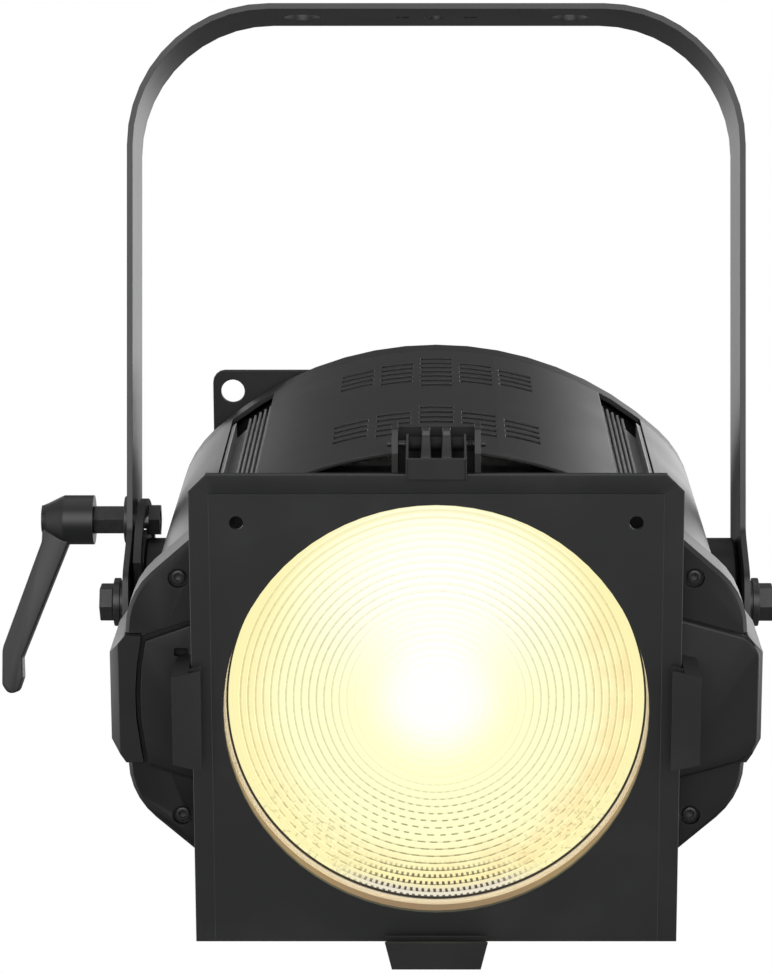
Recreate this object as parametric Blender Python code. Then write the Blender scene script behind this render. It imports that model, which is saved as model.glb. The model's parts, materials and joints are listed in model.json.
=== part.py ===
"""A fresnel spotlight with its yoke, built as separate pieces.

World frame: metres, +Z up, +X right, the lens faces -Y. The origin is the middle of the
yoke's top face, where the lamp hangs. The head is modelled level about its pivot, then the
head_tilt empty turns it nose-down. All lengths below are in millimetres.
"""
import math

import bmesh
import bpy
from mathutils import Matrix, Vector

MM = 0.001
GAP = 0.3

# Driving dimensions, millimetres
FRAME_SIDE = 245.0          # square colour frame
OPENING_RADIUS = 106.75     # hole in the colour frame
FRAME_FRONT = -207.0        # colour frame's front face, from the pivot
TILT_DEG = 14.5             # nose-down tilt at rest

YOKE_HALF = 170.6           # outside of the arms
YOKE_THICK = 3.2
YOKE_DEPTH = 62.0
YOKE_BEND = 78.0
PIVOT_DROP = 330.6          # pivot axis below the yoke's top face
CLAMP_RISE = 46.0           # clamp axis above the pivot axis
SLOT_REACH = (-40.0, 85.0)  # tilt angles that the arc slot allows, degrees nose-down
BOSS_RADIUS = 36.0

BODY_TOP = 128.0
ARCH_RADIUS = 190.0
CORNER_RADIUS = 62.0
CORNER_START = 43.0         # degrees, where the arch meets the corner round
COVER_HALF = 93.2           # top cover, half the width
RAIL_OUTER = 116.6
COVER_FRONT = -177.0
COVER_REAR = 78.0
REAR_FACE = 104.0

CASTING_FRONT = -181.0
CASTING_REAR = -150.0
LENS_FRONT = -187.0
LENS_RADIUS = 108.0

INNER_FACE = YOKE_HALF - YOKE_THICK

STEEL_BLACK = ("steel_black", (0.028, 0.029, 0.031), 0.45, 0.3)
CAST_BLACK = ("cast_black", (0.026, 0.027, 0.029), 0.5, 0.2)
PLASTIC_BLACK = ("plastic_black", (0.02, 0.02, 0.022), 0.5, 0.0)
ZINC = ("zinc", (0.6, 0.6, 0.6), 0.3, 1.0)
BARE_ALLOY = ("bare_alloy", (0.7, 0.7, 0.7), 0.4, 1.0)
RUBBER = ("rubber", (0.03, 0.03, 0.03), 0.8, 0.0)
LENS_GLASS = ("lens_glass", (1.0, 0.93, 0.72), 0.1, 0.0)
BOARD_GREEN = ("board_green", (0.03, 0.16, 0.07), 0.5, 0.0)
DISPLAY_DARK = ("display_dark", (0.02, 0.03, 0.05), 0.08, 0.0)
EMITTER = ("emitter", (0.9, 0.8, 0.5), 0.5, 0.0)


# ---------------------------------------------------------------- helpers

def clear_scene():
    for obj in list(bpy.data.objects):
        bpy.data.objects.remove(obj, do_unlink=True)


def material(spec):
    name, colour, roughness, metallic = spec
    found = bpy.data.materials.get(name)
    if found:
        return found
    made = bpy.data.materials.new(name)
    made.use_nodes = True
    shader = made.node_tree.nodes["Principled BSDF"]
    shader.inputs["Base Color"].default_value = (*colour, 1.0)
    shader.inputs["Roughness"].default_value = roughness
    shader.inputs["Metallic"].default_value = metallic
    return made


def empty(name, location, parent=None):
    obj = bpy.data.objects.new(name, None)
    bpy.context.collection.objects.link(obj)
    obj.parent = parent
    obj.location = Vector(location) * MM
    return obj


def finish(name, bm, spec, parent, origin=(0, 0, 0), smooth=True):
    """Turn a bmesh in millimetres into an object whose origin is the given point."""
    bmesh.ops.remove_doubles(bm, verts=bm.verts, dist=0.001)
    bmesh.ops.recalc_face_normals(bm, faces=bm.faces)
    bmesh.ops.translate(bm, verts=bm.verts, vec=-Vector(origin))
    bmesh.ops.scale(bm, verts=bm.verts, vec=(MM, MM, MM))
    mesh = bpy.data.meshes.new(name)
    bm.to_mesh(mesh)
    bm.free()
    obj = bpy.data.objects.new(name, mesh)
    bpy.context.collection.objects.link(obj)
    obj.parent = parent
    obj.location = Vector(origin) * MM
    if spec:
        mesh.materials.append(material(spec))
    if smooth:
        mesh.shade_smooth()
        mesh.set_sharp_from_angle(angle=math.radians(35))
    return obj


def as_cutter(obj):
    obj.hide_render = True
    obj.display_type = "WIRE"
    return obj


def boolean(target, other, operation="DIFFERENCE"):
    mod = target.modifiers.new(operation.lower(), "BOOLEAN")
    mod.operation = operation
    mod.solver = "EXACT"
    mod.object = as_cutter(other)
    return target


def bevel(obj, width, segments=2):
    mod = obj.modifiers.new("bevel", "BEVEL")
    mod.width = width * MM
    mod.segments = segments
    mod.limit_method = "ANGLE"
    mod.angle_limit = math.radians(40)
    mod.harden_normals = False
    return obj


# The three directions of a prism: outline axes first, then the axis it is pushed along
PLANES = {
    "X": lambda u, v, w: (w, u, v),     # outline in YZ
    "Y": lambda u, v, w: (u, w, v),     # outline in XZ
    "Z": lambda u, v, w: (u, v, w),     # outline in XY
}


def prism_mesh(outline, axis, low, high, bm=None):
    """Push a closed outline from low to high along an axis."""
    bm = bm or bmesh.new()
    place = PLANES[axis]
    start = [bm.verts.new(place(u, v, low)) for u, v in outline]
    end = [bm.verts.new(place(u, v, high)) for u, v in outline]
    bm.faces.new(start)
    bm.faces.new(end[::-1])
    for i, vert in enumerate(start):
        j = (i + 1) % len(start)
        bm.faces.new((vert, end[i], end[j], start[j]))
    return bm


def prism(name, outline, axis, low, high, spec, parent, origin=(0, 0, 0)):
    return finish(name, prism_mesh(outline, axis, low, high), spec, parent, origin)


def box_mesh(low, high, bm=None):
    (x0, y0, z0), (x1, y1, z1) = low, high
    return prism_mesh([(x0, y0), (x1, y0), (x1, y1), (x0, y1)], "Z", z0, z1, bm)


def box(name, low, high, spec, parent, origin=(0, 0, 0)):
    return finish(name, box_mesh(low, high), spec, parent, origin)


def turned_mesh(profile, axis, centre=(0, 0), steps=32, bm=None, phase=0.0):
    """Turn a closed profile of (radius, height) points about an axis. Radius 0 closes on it."""
    bm = bm or bmesh.new()
    place = PLANES[axis]
    rings = []
    for radius, height in profile:
        if radius == 0:
            rings.append([bm.verts.new(place(centre[0], centre[1], height))] * steps)
            continue
        ring = []
        for k in range(steps):
            turn = 2 * math.pi * (k + phase) / steps
            u = centre[0] + radius * math.cos(turn)
            v = centre[1] + radius * math.sin(turn)
            ring.append(bm.verts.new(place(u, v, height)))
        rings.append(ring)
    for a, b in zip(rings, rings[1:] + rings[:1]):
        if a[0] is a[1] and b[0] is b[1]:
            continue
        for k in range(steps):
            n = (k + 1) % steps
            corners = []
            for vert in (a[k], a[n], b[n], b[k]):
                if vert not in corners:
                    corners.append(vert)
            bm.faces.new(corners)
    return bm


def turned(name, profile, axis, centre, spec, parent, steps=32, origin=(0, 0, 0), phase=0.0):
    return finish(name, turned_mesh(profile, axis, centre, steps, phase=phase), spec, parent, origin)


def rod(low, high, radius):
    return [(0, low), (radius, low), (radius, high), (0, high)]


def ring(low, high, inner, outer):
    return [(inner, low), (outer, low), (outer, high), (inner, high)]


def arc(centre, radius, start_deg, end_deg, steps):
    """Points on an arc; angles are measured from +v towards +u."""
    points = []
    for k in range(steps + 1):
        turn = math.radians(start_deg + (end_deg - start_deg) * k / steps)
        points.append((centre[0] + radius * math.sin(turn), centre[1] + radius * math.cos(turn)))
    return points


def rounded(corners, radii, steps=5):
    """A closed outline whose corners are replaced by tangent arcs."""
    points = []
    count = len(corners)
    for i, corner in enumerate(corners):
        radius = radii[i]
        if radius == 0:
            points.append(corner)
            continue
        here = Vector(corner)
        back = (Vector(corners[i - 1]) - here).normalized()
        ahead = (Vector(corners[(i + 1) % count]) - here).normalized()
        half = back.angle(ahead) / 2
        middle = here + (back + ahead).normalized() * radius / math.sin(half)
        start = here + back * radius / math.tan(half) - middle
        end = here + ahead * radius / math.tan(half) - middle
        sweep = start.angle_signed(end)
        for k in range(steps + 1):
            point = Matrix.Rotation(-sweep * k / steps, 2) @ start + middle
            points.append((point.x, point.y))
    return points


def rectangle(x0, z0, x1, z1, radius=0.0, steps=4):
    return rounded([(x0, z0), (x1, z0), (x1, z1), (x0, z1)], [radius] * 4, steps)


def hexagon(centre, across_corners):
    return [(centre[0] + across_corners / 2 * math.cos(math.radians(60 * k)),
             centre[1] + across_corners / 2 * math.sin(math.radians(60 * k))) for k in range(6)]


def mirrored(points):
    return [(-u, v) for u, v in points][::-1]


# ---------------------------------------------------------------- head section

ARCH_CENTRE = (0.0, BODY_TOP - ARCH_RADIUS)
CORNER_CENTRE = ((ARCH_RADIUS - CORNER_RADIUS) * math.sin(math.radians(CORNER_START)),
                 ARCH_CENTRE[1] + (ARCH_RADIUS - CORNER_RADIUS) * math.cos(math.radians(CORNER_START)))


def arch_height(x, inset=0.0):
    return ARCH_CENTRE[1] + math.sqrt((ARCH_RADIUS - inset) ** 2 - x * x)


def arch_angle(x, inset=0.0):
    return math.degrees(math.asin(x / (ARCH_RADIUS - inset)))


def right_quarter(from_x, inset, steps=10):
    """The section from the arch at from_x, round the corner to the side, at an inset."""
    top = arc(ARCH_CENTRE, ARCH_RADIUS - inset, arch_angle(from_x, inset), CORNER_START, 3)
    corner = arc(CORNER_CENTRE, CORNER_RADIUS - inset, CORNER_START, 90, steps)
    return top + corner[1:]


def right_side(from_x, inset, steps=10):
    upper = right_quarter(from_x, inset, steps)
    return upper + [(u, -v) for u, v in upper[::-1]]


def whole_section(inset, steps=6):
    """The whole closed outline of the head covers."""
    arch = arc(ARCH_CENTRE, ARCH_RADIUS - inset, 0, CORNER_START, 8)
    corner = arc(CORNER_CENTRE, CORNER_RADIUS - inset, CORNER_START, 90, steps)
    quarter = arch + corner[1:]
    right = quarter + [(u, -v) for u, v in quarter[::-1]]
    return right + mirrored(right)[1:-1]


# ---------------------------------------------------------------- yoke and clamp

def yoke_strip():
    """The bent strap seen from the front: a U on its head."""
    low = -PIVOT_DROP - 30
    bend = YOKE_HALF - YOKE_BEND
    outer = [(-YOKE_HALF, low)]
    outer += arc((-bend, -YOKE_BEND), YOKE_BEND, -90, 0, 11)
    outer += arc((bend, -YOKE_BEND), YOKE_BEND, 0, 90, 11)
    outer += [(YOKE_HALF, low)]
    inner_bend = YOKE_BEND - YOKE_THICK
    inner = [(INNER_FACE, low)]
    inner += arc((bend, -YOKE_BEND), inner_bend, 90, 0, 11)
    inner += arc((-bend, -YOKE_BEND), inner_bend, 0, -90, 11)
    inner += [(-INNER_FACE, low)]
    return outer + inner


def yoke_side():
    """The yoke seen from the side, with the forward ear at the foot of each arm."""
    half = YOKE_DEPTH / 2
    foot = -PIVOT_DROP - 29
    corners = [(-half, 1), (-half, -PIVOT_DROP + 39), (-half - 27, -PIVOT_DROP + 16),
               (-half - 27, -PIVOT_DROP - 16), (-half, foot), (half, foot), (half, 1)]
    return rounded(corners, [0, 10, 14, 14, 14, 22, 0], 4)


def build_yoke():
    yoke = prism("yoke", yoke_strip(), "Y", -YOKE_DEPTH / 2 - 30, YOKE_DEPTH / 2 + 3, STEEL_BLACK, None)
    boolean(yoke, prism("yoke_side_guide", yoke_side(), "X", -200, 200, None, None), "INTERSECT")
    holes = bmesh.new()
    for x, radius in ((-75, 10), (0, 6.5), (75, 10)):
        turned_mesh(rod(-YOKE_THICK - 2, 2, radius), "Z", (x, 0), 28, holes)
    for side in (-1, 1):
        slot = rectangle(side * 19 - 4, -3, side * 19 + 4, 3, 2.9)
        prism_mesh(slot, "Z", -YOKE_THICK - 2, 2, holes)
    for side in (-1, 1):
        low, high = sorted((side * (INNER_FACE - 2), side * (YOKE_HALF + 2)))
        turned_mesh(rod(low, high, 8.3), "X", (0, -PIVOT_DROP), 28, holes)
    turned_mesh(rod(-YOKE_HALF - 2, -INNER_FACE + 2, 5.4), "X", (0, CLAMP_RISE - PIVOT_DROP), 20, holes)
    boolean(yoke, finish("yoke_holes", holes, None, None))


def along_arm(side, spans):
    """Mirror (radius, distance from the middle) profile points to one side of the yoke."""
    return [(radius, side * distance) for radius, distance in spans]


def build_pivot(name, side):
    pivot = (0, -PIVOT_DROP)
    washer = [(6.4, 167.3), (8, 167.3), (8, 170.9), (12, 170.9), (12, 176.5), (13.5, 176.5),
              (13.5, 180.0), (6.4, 180.0)]
    turned("pivot_washer_" + name, along_arm(side, washer), "X", pivot, ZINC, None, 20)


def build_clamp():
    axis = (0, CLAMP_RISE - PIVOT_DROP)
    turned("clamp_washer", ring(-174.2, -170.9, 5.4, 13.3), "X", axis, STEEL_BLACK, None, 28)
    nut = prism("clamp_nut", hexagon(axis, 19), "X", -160.6, -154.4, ZINC, None)
    boolean(nut, turned("nut_bore", rod(-165, -150, 5.4), "X", axis, None, None, 20))
    holder = empty("clamp_axis", (-191, axis[0], axis[1]))
    origin = (0, 0, 0)
    insert = bmesh.new()
    prism_mesh(hexagon((0, 0), 17.6), "X", 0, 16.4, insert)
    hexes = finish("clamp_insert", insert, STEEL_BLACK, holder, origin)
    boolean(hexes, turned("clamp_spline", rod(-12, 5, 6.8), "X", (0, 0), None, holder, 16), "UNION")
    boolean(hexes, turned("clamp_bore", rod(5.4, 20, 5.3), "X", (0, 0), None, holder, 20))
    boolean(hexes, turned("screw_bore", rod(-16, -2, 1.9), "X", (0, 0), None, holder, 12))
    stud = [(0, 5.7), (5, 5.7), (5, 24.0), (8.4, 24.0), (8.4, 25.6), (5, 25.6), (5, 36), (0, 36)]
    turned("clamp_stud", stud, "X", (0, 0), ZINC, holder, 20)
    build_handle(holder)


def build_handle(holder):
    """Lever with a hollow hub; the screw and spring sit in the hub's outer end."""
    bm = turned_mesh([(7.3, -0.4), (13.8, -0.4), (13.8, -17), (13, -19), (9.5, -26), (8.2, -29),
                      (8.2, -29.6), (6.4, -29.6), (6.4, -20), (2.9, -20), (2.9, -14), (7.3, -14)],
                     "X", (0, 0), 32)
    hub = finish("clamp_handle", bm, STEEL_BLACK, holder)
    arm = rounded([(-2.8, 2), (-29, 2), (-29.5, -12), (-51.5, -72), (-51.6, -92), (-48, -97.6),
                   (-42.5, -96), (-39.8, -88), (-40.2, -77), (-14.5, -13)], [3, 6, 8, 14, 4, 4, 4, 3, 2, 6], 3)
    lever = prism("lever_arm", arm, "Y", -6.5, 6.5, None, holder)
    bevel(lever, 2.2, 2)
    boolean(lever, turned("hub_clearance", rod(-40, 10, 8.6), "X", (0, 0), None, holder, 24))
    boolean(hub, lever, "UNION")
    screw = [(0, -3), (1.6, -3), (1.6, -24.8), (5.6, -24.8), (5.6, -28.6), (4.6, -29.3), (0, -29.3)]
    turned("handle_screw", screw, "X", (0, 0), ZINC, holder, 20)
    finish("handle_spring", coil_mesh("X", (0, 0), 4.5, 0.45, -20.6, -24.2, 3, 10, 5), ZINC, holder)


def coil_mesh(axis, centre, radius, wire, low, high, turns, steps, sides):
    """A helical spring: a small round section carried along a helix."""
    bm = bmesh.new()
    place = PLANES[axis]
    rings = []
    total = turns * steps
    for k in range(total + 1):
        turn = 2 * math.pi * k / steps
        along = low + (high - low) * k / total
        section = []
        for s in range(sides):
            lean = 2 * math.pi * s / sides
            out = radius + wire * math.cos(lean)
            point = (centre[0] + out * math.cos(turn), centre[1] + out * math.sin(turn))
            section.append(bm.verts.new(place(point[0], point[1], along + wire * math.sin(lean))))
        rings.append(section)
    for a, b in zip(rings, rings[1:]):
        for s in range(sides):
            n = (s + 1) % sides
            bm.faces.new((a[s], a[n], b[n], b[s]))
    bm.faces.new(rings[0])
    bm.faces.new(rings[-1][::-1])
    return bm


# ---------------------------------------------------------------- head: sides and pivots

def build_pivot_parts(head, name, side):
    bolt = finish("pivot_bolt_" + name, prism_mesh(hexagon((0, 0), 22), "X", *sorted((side * 180.3, side * 188))),
                  ZINC, head)
    boolean(bolt, turned("shank_" + name, rod(*sorted((side * 152, side * 182)), 6.0), "X", (0, 0),
                         None, head, 20), "UNION")
    boss = [(6.3, 149.7), (BOSS_RADIUS, 149.7), (BOSS_RADIUS, 160.7), (12, 160.7), (12, 166.8), (6.3, 166.8)]
    if side > 0:
        boss = [(6.3, 149.7), (BOSS_RADIUS, 149.7), (BOSS_RADIUS, 165.2), (BOSS_RADIUS - 1.6, 166.8), (6.3, 166.8)]
    turned("pivot_boss_" + name, along_arm(side, boss), "X", (0, 0), CAST_BLACK, head, 32)


def build_quadrant(head):
    """Plate with an arc slot about the pivot, which the clamp's stud runs in."""
    first, last = SLOT_REACH
    outline = arc((0, 0), 58, first - 13, last + 13, 16)
    outline += arc((0, 0), 30, last + 40, first + 320, 8)
    plate = prism("quadrant_plate", outline, "X", -165.2, -161.0, STEEL_BLACK, head)
    hub = [(12.3, -166.8), (BOSS_RADIUS - 1.2, -166.8), (BOSS_RADIUS, -165.6), (BOSS_RADIUS, -164), (12.3, -164)]
    boolean(plate, turned("quadrant_hub", hub, "X", (0, 0), None, head, 32), "UNION")
    slot = arc((0, 0), CLAMP_RISE + 5.5, first, last, 16)
    slot += slot_end(last, 0)
    slot += arc((0, 0), CLAMP_RISE - 5.5, last, first, 16)
    slot += slot_end(first, 180)
    cutter = bmesh.new()
    prism_mesh(slot, "X", -168, -158, cutter)
    turned_mesh(rod(-168, -158, 12.3), "X", (0, 0), 24, cutter)
    boolean(plate, finish("quadrant_cuts", cutter, None, head))


def slot_end(angle_deg, start):
    """The half-round end of the arc slot, between its two arcs."""
    turn = math.radians(angle_deg)
    middle = (CLAMP_RISE * math.sin(turn), CLAMP_RISE * math.cos(turn))
    return arc(middle, 5.5, angle_deg + start, angle_deg + start + 180, 6)[1:-1]


# ---------------------------------------------------------------- head: casting and covers

def casting_outline(inset=0.0):
    """Eight-cornered flange: upright sides, slanted corners, rounded vertices."""
    half = 157.5 - inset
    top = 114.0 - inset
    right = [(88.0 - inset * 0.4, top), (half, 53.3 - inset * 0.4), (half, -53.3 + inset * 0.4),
             (88.0 - inset * 0.4, -top)]
    corners = right + mirrored(right)
    return rounded(corners, [20, 40, 40, 20] * 2, 5)


def build_casting(head):
    casting = prism("front_casting", casting_outline(), "Y", CASTING_FRONT, CASTING_REAR, CAST_BLACK, head)
    bevel(casting, 2.0, 1)
    tube = turned("lens_tube", [(108.6, -203.0), (112.8, -203.0), (112.8, -170), (108.6, -170)], "Y",
                  (0, 0), None, head, 48)
    boolean(casting, tube, "UNION")
    boolean(casting, prism("casting_cavity", casting_outline(4), "Y", CASTING_FRONT + 8, -100, None, head))
    for side in (-1, 1):
        notch = pod_outline(side, GAP)
        boolean(casting, prism("pod_notch_%d" % side, notch, "Y", -200, -100, None, head))
    inner = COVER_HALF - 3
    lip = arch_height(COVER_HALF) - 9.6
    over = [(-COVER_HALF - 1, lip), (-inner, lip)]
    over += arc(ARCH_CENTRE, ARCH_RADIUS - 3, -arch_angle(inner, 3), arch_angle(inner, 3), 16)
    over += [(inner, lip), (COVER_HALF + 1, lip), (COVER_HALF + 1, 150), (-COVER_HALF - 1, 150)]
    boolean(casting, prism("cover_room", over, "Y", COVER_FRONT - GAP, -100, None, head))
    cuts = bmesh.new()
    turned_mesh(rod(-210, -100, 108.6), "Y", (0, 0), 48, cuts)
    for x, z in screw_places():
        turned_mesh(rod(-190, CASTING_FRONT + 3.5, 5.2), "Y", (x, z), 12, cuts)
    boolean(casting, finish("casting_cuts", cuts, None, head))


def screw_places():
    places = []
    for side in (-1, 1):
        for z in (62.5, -63.5, 22.4):
            places.append((side * 130.3, z))
    return places


def pod_outline(side, grow=0.0):
    """A pod seen from the front: upright inner face, bevelled outer corners."""
    outline = [(139 - grow, -33.4 - grow), (158, -33.4 - grow), (165.6 + grow, -22), (165.6 + grow, 24),
               (157.8, 33.4 + grow), (139 - grow, 33.4 + grow)]
    return outline if side > 0 else mirrored(outline)


def build_pod(head, name, side):
    """Cast block on the side of the casting, with a tail that runs back outside the side cover."""
    pod = prism("side_pod_" + name, pod_outline(side), "Y", -190, -100, CAST_BLACK, head)
    plan = [(130, -186.5), (161, -186.5), (167, -180), (167, -124), (158, -116), (149.7, -116),
            (149.7, -149.9), (130, -149.9)]
    if side < 0:
        plan = mirrored(plan)
    boolean(pod, prism("pod_plan_" + name, plan, "Z", -40, 40, None, head), "INTERSECT")
    bevel(pod, 0.8, 1)


def build_top_cover(head):
    outer = arc(ARCH_CENTRE, ARCH_RADIUS, -arch_angle(COVER_HALF), arch_angle(COVER_HALF), 24)
    inner = arc(ARCH_CENTRE, ARCH_RADIUS - 2, arch_angle(COVER_HALF - 2, 2), -arch_angle(COVER_HALF - 2, 2), 24)
    edge = arch_height(COVER_HALF) - 9
    outline = outer + [(COVER_HALF, edge), (COVER_HALF - 2, edge)]
    outline += inner + [(-COVER_HALF + 2, edge), (-COVER_HALF, edge)]
    cover = prism("top_cover", outline, "Y", COVER_FRONT, COVER_REAR, STEEL_BLACK, head)
    cuts = bmesh.new()
    for row_start, spread in ((-148.0, 22.3), (-19.0, 21.9)):
        for group, count in enumerate((4, 5, 7, 5, 4)):
            middle = (group - 2) * spread
            low = arch_height(abs(middle) + 9) - 6
            for k in range(count):
                front = row_start - 0.8 + (3 - (count - 1) / 2 + k) * 11.8
                box_mesh((middle - 8.8, front, low), (middle + 8.8, front + 6.2, BODY_TOP + 4), cuts)
    boolean(cover, finish("vent_cuts", cuts, None, head))


def build_rail(head, name, side):
    """Ribbed channel between the top cover and the side cover."""
    start = COVER_HALF + 0.4
    floor = 9.0
    points = [(start, arch_height(start) - floor - 4)]
    for k in range(5):
        x = start + 0.2 + k * 2.9
        top = arch_height(x) - 4.5
        base = arch_height(x) - floor
        points += [(x, base), (x, top), (x + 1.2, top), (x + 1.2, base - 0.4)]
    wall = RAIL_OUTER - 2.6
    points += [(wall, arch_height(wall) - floor - 1), (wall, arch_height(wall) - 1.0),
               (RAIL_OUTER, arch_height(RAIL_OUTER) - 1.0), (RAIL_OUTER, arch_height(RAIL_OUTER) - floor - 6)]
    if side < 0:
        points = mirrored(points)
    prism("rail_" + name, points, "Y", -149.5, 62, BARE_ALLOY, head)


def build_side_cover(head, name, side):
    edge = RAIL_OUTER + 0.4
    outer = right_side(edge, 0, 9)
    inner = right_side(edge, 2.6, 9)
    outline = outer + inner[::-1]
    if side < 0:
        outline = mirrored(outline)
    prism("side_cover_" + name, outline, "Y", -149.6, COVER_REAR, STEEL_BLACK, head)


def build_bottom_cover(head):
    half = RAIL_OUTER
    outer = arc(ARCH_CENTRE, ARCH_RADIUS, -arch_angle(half), arch_angle(half), 18)
    inner = arc(ARCH_CENTRE, ARCH_RADIUS - 2.4, arch_angle(half, 2.4), -arch_angle(half, 2.4), 18)
    outline = [(u, -v) for u, v in outer + inner]
    prism("bottom_cover", outline, "Y", -149.6, COVER_REAR, STEEL_BLACK, head)


def build_rear_cover(head):
    """Cap with a rounded rear rim, open at the front, with a fan grille and panel holes."""
    bm = bmesh.new()
    shell = [(0.0, COVER_REAR + GAP), (0.0, 95.0), (2.0, 100.5), (7.0, REAR_FACE)]
    hollow = [(2.8, COVER_REAR + GAP), (2.8, 95.0), (4.6, 99.0), (8.0, REAR_FACE - 2.8)]
    loops = []
    for inset, y in shell + hollow[::-1]:
        loops.append([bm.verts.new((x, y, z)) for x, z in whole_section(inset)])
    for i in range(len(loops)):
        a, b = loops[i], loops[(i + 1) % len(loops)]
        if i == len(shell) - 1:
            continue
        for k, vert in enumerate(a):
            n = (k + 1) % len(a)
            bm.faces.new((vert, a[n], b[n], b[k]))
    bm.faces.new(loops[len(shell) - 1])
    bm.faces.new(loops[len(shell)][::-1])
    cover = finish("rear_cover", bm, CAST_BLACK, head)
    cuts = bmesh.new()
    for k in range(7):
        z = FAN_Z - 36 + k * 12
        reach = math.sqrt(41 ** 2 - (z + 2 - FAN_Z) ** 2)
        box_mesh((-reach, 95, z), (reach, 110, z + 4), cuts)
    box_mesh((-52, 95, 45), (52, 110, 89), cuts)
    for x, half_wide, half_high in CONNECTORS.values():
        box_mesh((x - half_wide, 95, CONNECTOR_Z - half_high), (x + half_wide, 110, CONNECTOR_Z + half_high), cuts)
    boolean(cover, finish("rear_cuts", cuts, None, head))


FAN_Z = -8.0
CONNECTOR_Z = -80.0
CONNECTORS = {
    "power_in": (-66.0, 11.6, 13.6),
    "power_out": (-30.0, 11.6, 13.6),
    "data_in": (14.0, 12.2, 12.2),
    "data_out": (50.0, 12.2, 12.2),
}


def build_safety_eye(head):
    corners = [(-130, 62), (-130, 110.8), (-62, 110.8), (-62, 92), (-100, 62)]
    plate = prism("safety_eye", rounded(corners, [3, 7, 3, 3, 3], 4), "Y", REAR_FACE + GAP,
                  REAR_FACE + GAP + 3.2, STEEL_BLACK, head)
    boolean(plate, turned("eye_hole", rod(100, 115, 6.8), "Y", (-118.5, 98.5), None, head, 28))


# ---------------------------------------------------------------- head: front accessories

def build_colour_frame(head):
    half = FRAME_SIDE / 2
    cut = 8.7
    outline = [(-half, -half), (half, -half), (half, half - cut), (half - cut, half),
               (-half + cut, half), (-half, half - cut)]
    frame = prism("colour_frame", outline, "Y", FRAME_FRONT, FRAME_FRONT + 3.0, STEEL_BLACK, head)
    cuts = bmesh.new()
    turned_mesh(rod(-212, -200, OPENING_RADIUS), "Y", (0, 0), 72, cuts)
    for side in (-1, 1):
        turned_mesh(rod(-212, -200, 3.5), "Y", (side * 99, 97.6), 16, cuts)
    boolean(frame, finish("frame_cuts", cuts, None, head))


def build_clip(head, name, turn_deg):
    """Two-slot channel: a base block, a divider and a front lip, widest at its free edge."""
    base = 123.2
    outer = 131.3
    lip = [(-26, -117), (26, -117), (22.5, -outer), (-22.5, -outer)]
    block = [(-24.4, -base), (24.4, -base), (22.5, -outer), (-22.5, -outer)]
    foot = [(-16, -126), (16, -126), (16, -137), (-16, -137)]
    if name == "bottom":
        foot = [(-22.5, -115), (22.5, -115), (22.5, -outer), (-22.5, -outer)]
    clip = prism("clip_" + name, block, "Y", -222.5, -181.3, CAST_BLACK, head)
    extras = ((lip, -223.6, -221.4), (lip, -214.9, -213.0), (foot, -184.0, -181.3))
    for number, (outline, low, high) in enumerate(extras):
        piece = prism("clip_%s_%d" % (name, number), outline, "Y", low, high, None, head)
        piece.rotation_euler.y = math.radians(turn_deg)
        boolean(clip, piece, "UNION")
    clip.rotation_euler.y = math.radians(turn_deg)


def build_latch(head):
    bm = bmesh.new()
    corners = [(-203.2, 114.4), (-178.5, 114.4), (-178.5, 121), (-186, 144.8), (-199, 144.8), (-203.2, 132)]
    bracket = finish("latch_bracket", box_mesh((-22, -203.2, 114.4), (22, -178.5, 117.2), bm), STEEL_BLACK, head)
    for side in (-1, 1):
        ear = prism("latch_ear_%d" % side, rounded(corners, [0, 0, 2, 3, 3, 2], 3), "X",
                    *sorted((side * 18.9, side * 22)), None, head)
        boolean(bracket, ear, "UNION")
    boolean(bracket, turned("latch_pin_hole", rod(-30, 30, 1.9), "X", LATCH_PIN, None, head, 14))
    turned("latch_pin", rod(-24.4, 24.4, 1.6), "X", LATCH_PIN, ZINC, head, 14)
    spring = coil_mesh("X", LATCH_PIN, 2.7, 0.4, 15.6, 18.2, 2, 10, 5)
    finish("latch_spring", spring, ZINC, head)
    swing = empty("latch_axis", (0, *LATCH_PIN), head)
    flap = turned("latch_flap", ring(-15, 15, 1.9, 4.2), "X", (0, 0), STEEL_BLACK, swing, 20)
    tongue = [(-2, -1), (-2, 3), (-13, 2.2), (-17.7, -2), (-17.7, -14.4), (-15.6, -14.4), (-15.6, -3.8), (-12, -0.4)]
    boolean(flap, clear_pin(prism("latch_tongue", tongue, "X", -15, 15, None, swing), swing), "UNION")
    for number, middle in enumerate((-5.1, 5.1)):
        rib = [(-5, 2), (-5, 11.6), (-3, 13), (2, 13), (3.6, 2)]
        blade = prism("latch_rib_%d" % number, rib, "X", middle - 2.2, middle + 2.2, None, swing)
        boolean(flap, clear_pin(blade, swing), "UNION")


LATCH_PIN = (-192.0, 134.5)


def clear_pin(obj, holder):
    bore = turned(obj.name + "_bore", rod(-40, 40, 3.0), "X", (0, 0), None, holder, 20)
    return boolean(obj, bore)


# ---------------------------------------------------------------- head: optics and engine

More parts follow.
